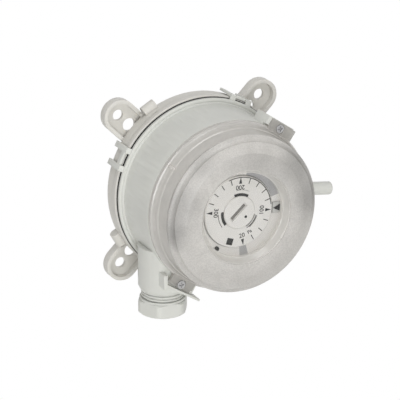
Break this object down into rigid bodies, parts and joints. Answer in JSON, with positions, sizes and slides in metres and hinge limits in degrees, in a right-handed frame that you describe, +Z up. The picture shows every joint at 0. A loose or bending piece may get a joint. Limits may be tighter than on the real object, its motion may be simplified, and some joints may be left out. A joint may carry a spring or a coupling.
{
  "type": "differential pressure switch",
  "caption": "Round wall-mounted differential air pressure switch with a frosted dome cover, setting dial behind a window, hose tails and a cable gland.",
  "frame": {"origin": "centre of the four fixing holes on the back plane that meets the wall", "axes": "+Z up with the cable gland pointing down, +Y into the wall, the dial faces -Y, +X to the hose tails"},
  "size_m": [0.1068, 0.0582, 0.0946],
  "materials": {
    "ivory_plastic": "moulded, fine satin",
    "light_grey_plastic": "moulded, fine satin",
    "inner_grey_plastic": "moulded, satin",
    "white_plastic": "moulded, satin",
    "black_plastic": "moulded, satin",
    "black_rubber": "matt",
    "frosted_clear_plastic": "clear with satin frosted dome",
    "zinc_plated_steel": "zinc plated",
    "spring_steel": "drawn wire",
    "turned_brass": "turned"
  },
  "bodies": {
    "case": {"base_housing": "ivory_plastic", "diaphragm": "black_rubber", "pressure_spring": "spring_steel", "middle_housing": "light_grey_plastic", "push_pin_seal": "black_rubber", "mechanism_bridge": "inner_grey_plastic", "bridge_screws": "zinc_plated_steel", "switch_screws": "zinc_plated_steel", "setting_pointer": "black_plastic", "switch_body": "black_plastic", "lever_pin": "zinc_plated_steel", "terminal_block": "black_plastic", "gland_seal": "black_rubber", "gland_clamp_ring": "inner_grey_plastic", "cover_gasket": "black_rubber", "terminal_clamp_1": "turned_brass", "terminal_clamp_2": "turned_brass", "terminal_clamp_3": "turned_brass", "contact_strap_1": "turned_brass", "contact_strap_2": "turned_brass", "contact_strap_3": "turned_brass"},
    "dial": {"setting_spindle": "turned_brass", "spindle_seal_ring": "black_rubber", "setting_dial": "white_plastic"},
    "seat": {"spring_seat": "turned_brass"},
    "plate": {"diaphragm_plate": "inner_grey_plastic"},
    "lever": {"switch_lever": "zinc_plated_steel"},
    "plunger": {"switch_plunger": "white_plastic"},
    "cover_body": {"cover": "frosted_clear_plastic"},
    "upper_cover_screw": {"cover_screw_upper": "zinc_plated_steel"},
    "lower_cover_screw": {"cover_screw_lower": "zinc_plated_steel"},
    "nut": {"gland_nut": "light_grey_plastic"},
    "clamp_screw_1": {"terminal_screw_1": "zinc_plated_steel"},
    "clamp_screw_2": {"terminal_screw_2": "zinc_plated_steel"},
    "clamp_screw_3": {"terminal_screw_3": "zinc_plated_steel"}
  },
  "joints": [
    {"name": "dial_turn", "type": "hinge", "parent": "case", "child": "dial", "pos_m": [0, -0.05, 0], "axis": [0, -1, 0], "range_deg": [-176, 79.6]},
    {"name": "spring_seat_slide", "type": "slide", "parent": "case", "child": "seat", "axis": [0, -1, 0], "range_m": [-0.00146, 0.00066], "deforming": ["pressure_spring"]},
    {"name": "diaphragm_stroke", "type": "slide", "parent": "case", "child": "plate", "axis": [0, -1, 0], "range_m": [0, 0.00025], "stiffness_N_per_m": 500, "springref_m": -0.0006, "deforming": ["diaphragm", "pressure_spring"]},
    {"name": "switch_lever_tilt", "type": "hinge", "parent": "case", "child": "lever", "pos_m": [0.009, -0.0336, 0], "axis": [0, 0, -1], "range_deg": [0, 3.2]},
    {"name": "switch_plunger_push", "type": "slide", "parent": "case", "child": "plunger", "axis": [0, -1, 0], "range_m": [0, 0.00042]},
    {"name": "cover_lift", "type": "slide", "parent": "case", "child": "cover_body", "axis": [0, -1, 0], "range_m": [0, 0.04]},
    {"name": "cover_screw_upper_turn", "type": "hinge", "parent": "cover_body", "child": "upper_cover_screw", "pos_m": [0.02443, -0.0415, 0.03218], "axis": [0, -1, 0], "continuous": true},
    {"name": "cover_screw_lower_turn", "type": "hinge", "parent": "cover_body", "child": "lower_cover_screw", "pos_m": [-0.02404, -0.0415, -0.03309], "axis": [0, -1, 0], "continuous": true},
    {"name": "gland_nut_turn", "type": "hinge", "parent": "case", "child": "nut", "pos_m": [-0.0264, -0.028, -0.046], "axis": [0, 0, 1], "continuous": true},
    {"name": "terminal_screw_1_turn", "type": "hinge", "parent": "case", "child": "clamp_screw_1", "pos_m": [-0.006, -0.041, -0.023], "axis": [0, -1, 0], "continuous": true},
    {"name": "terminal_screw_2_turn", "type": "hinge", "parent": "case", "child": "clamp_screw_2", "pos_m": [0.002, -0.041, -0.023], "axis": [0, -1, 0], "continuous": true},
    {"name": "terminal_screw_3_turn", "type": "hinge", "parent": "case", "child": "clamp_screw_3", "pos_m": [0.01, -0.041, -0.023], "axis": [0, -1, 0], "continuous": true}
  ],
  "couplings": [
    {"joint": "dial_turn", "follows": "spring_seat_slide", "rad_per_m": 2094.4},
    {"joint": "switch_lever_tilt", "follows": "diaphragm_stroke", "rad_per_m": 222.22},
    {"joint": "switch_plunger_push", "follows": "diaphragm_stroke", "ratio": 1.6667}
  ]
}
